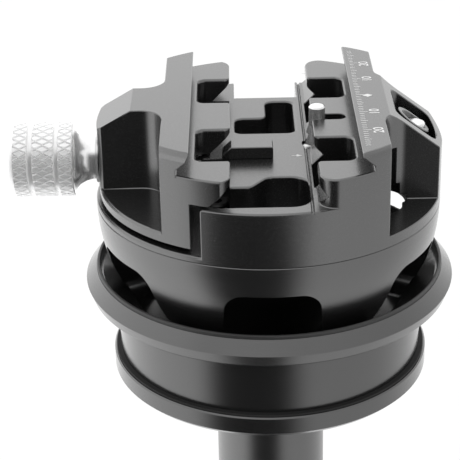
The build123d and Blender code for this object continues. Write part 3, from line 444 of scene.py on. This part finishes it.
def makeNumber(label, y, shape):
    words = bpy.data.curves.new("number", "FONT")
    words.body = label
    words.size = shape["numberSize"] * mm
    words.align_x = "CENTER"
    words.extrude = shape["paint"] * mm
    words.offset = shape["bold"] * mm
    words.resolution_u = shape["roundness"]
    letter = bpy.data.objects.new("number", words)
    bpy.context.scene.collection.objects.link(letter)
    bpy.context.view_layer.update()
    drawn = letter.evaluated_get(bpy.context.evaluated_depsgraph_get())
    mesh = bpy.data.meshes.new_from_object(drawn)
    bpy.data.objects.remove(letter)
    place = Matrix.Translation(Vector((shape["numberX"], y, shape["top"])) * mm)
    mesh.transform(place @ Matrix.Rotation(pi / 2, 4, "Z"))
    built = bmesh.new()
    built.from_mesh(mesh)
    bpy.data.meshes.remove(mesh)
    return built


def makeScale(shape):
    marks = bmesh.new()
    top, paint, start = shape["top"], shape["paint"], shape["tickX"]
    half = shape["line"] / 2
    for y in range(-shape["reach"], shape["reach"] + 1):
        length = shape["lengths"][(y % 5 == 0) + (y % 10 == 0)]
        flatMark(marks, start, start + length, y - half, y + half, top, paint)
    for y, label in shape["numbers"]:
        join(marks, makeNumber(label, y, shape))
    x, y = shape["diamond"]
    halfX, halfY = shape["diamondHalf"]
    cornerMark(marks, [(x + halfX, y), (x, y + halfY), (x - halfX, y), (x, y - halfY)], top, paint)
    return marks


def makeArrow(shape):
    marks = bmesh.new()
    near, far = shape["arrowStem"]
    y = shape["arrowY"]
    half = shape["line"] / 2
    flatMark(marks, near, far, y - half, y + half, shape["floorTop"], shape["paint"])
    corners = [(far, y - shape["arrowHalf"]), (shape["arrowTip"], y), (far, y + shape["arrowHalf"])]
    cornerMark(marks, corners, shape["floorTop"], shape["paint"])
    return marks


makePiece("scaleMarks", makeScale(scaleShape), whitePaint, "ball")
makePiece("floorArrow", makeArrow(scaleShape), whitePaint, "ball")
print("marks painted")

# Studio: light all round, and a dark part in front that keeps black metal black
studio = {
    "front": 0.035,            # level of the dark part
    "darkMiddle": -14,         # degrees from the camera's side, positive to the right
    "darkHalf": (22, 46),      # degrees from its middle to where it starts and stops to fade
    "darkTop": (0.45, 0.8),    # how steeply up it starts and stops to fade, 1 being straight up
    "around": 1.15,
    "tilt": -0.3,              # more light from the left than from the right
    "back": 0.4,               # more light from behind the object
    "floorSize": 6.0,
    "floorTone": (0.85, 0.85, 0.85, 1),
    "floorRoughness": 0.9,
    "white": 1.02,             # level of the floor as the camera sees it
    "glow": 0.94,              # share of that white, and the rest is lit and takes the shadow
}
plainWhite = (1, 1, 1, 1)


def smoothRamp(value, limits):
    return value.node("ShaderNodeMapRange", {"interpolation_type": "SMOOTHSTEP"}, {
        "Value": value, "From Min": limits[0], "From Max": limits[1]})


def makeWorld(shape):
    world = bpy.data.worlds.new("studio")
    world.use_nodes = True
    bpy.context.scene.world = world
    way = startTree(world.node_tree, "ShaderNodeTexCoord", "Generated")
    right = way.node("ShaderNodeSeparateXYZ", {}, {"Vector": way})
    back, up = right.part(1), right.part(2)
    turn = right.math("ARCTAN2", right, back * -1) - radians(shape["darkMiddle"])
    sides = smoothRamp(turn.math("ABSOLUTE", turn), [radians(limit) for limit in shape["darkHalf"]])
    bright = sides.math("MAXIMUM", sides, smoothRamp(up, shape["darkTop"]))
    behind = back.math("MAXIMUM", back, 0.0)
    level = bright * (right * shape["tilt"] + behind * shape["back"] + shape["around"]) + shape["front"]
    camera = way.node("ShaderNodeLightPath", {}, {})
    strength = level + camera * (1 - level)
    light = way.node("ShaderNodeBackground", {}, {"Color": plainWhite, "Strength": strength})
    way.node("ShaderNodeOutputWorld", {}, {"Surface": light})


def makeFloor(shape):
    floor = bmesh.new()
    bmesh.ops.create_grid(floor, x_segments=1, y_segments=1, size=shape["floorSize"] / 2)
    bmesh.ops.translate(floor, vec=(0, 0, cadBox[0][2]), verts=floor.verts)
    mesh = bpy.data.meshes.new("floor")
    floor.to_mesh(mesh)
    floor.free()
    finish, place = startFinish("paleFloor")
    paper = {"Base Color": shape["floorTone"], "Roughness": shape["floorRoughness"]}
    plain = place.node("ShaderNodeBsdfPrincipled", {}, paper)
    glow = place.node("ShaderNodeEmission", {}, {"Color": plainWhite, "Strength": shape["white"]})
    camera = place.node("ShaderNodeLightPath", {}, {})
    mixed = place.node("ShaderNodeMixShader", {}, {0: camera * shape["glow"], 1: plain, 2: glow})
    place.node("ShaderNodeOutputMaterial", {}, {"Surface": mixed})
    mesh.materials.append(finish)
    piece = bpy.data.objects.new("floor", mesh)
    piece.visible_glossy = False
    bpy.context.scene.collection.objects.link(piece)


# Camera, fitted to the photograph: lengths in mm, angles in degrees
view = {
    "focal": 125.57,
    "sensor": 36,
    "near": 10,
    "far": 20000,
    "place": (-6.574, -321.762, 165.858),
    "yaw": 0.35,
    "down": 25.56,
    "roll": -1.27,
}


def makeCamera(shape):
    lens = bpy.data.cameras.new("camera")
    lens.lens = shape["focal"]
    lens.sensor_width = shape["sensor"]
    lens.clip_start = shape["near"] * mm
    lens.clip_end = shape["far"] * mm
    camera = bpy.data.objects.new("camera", lens)
    turn = Matrix.Rotation(radians(shape["yaw"]), 3, "Z")
    turn = turn @ Matrix.Rotation(radians(90 - shape["down"]), 3, "X")
    turn = turn @ Matrix.Rotation(radians(shape["roll"]), 3, "Z")
    camera.matrix_world = Matrix.Translation(Vector(shape["place"]) * mm) @ turn.to_4x4()
    bpy.context.scene.collection.objects.link(camera)
    bpy.context.scene.camera = camera


makeWorld(studio)
makeFloor(studio)
makeCamera(view)
bpy.context.scene.view_settings.view_transform = "Standard"
print("studio made")
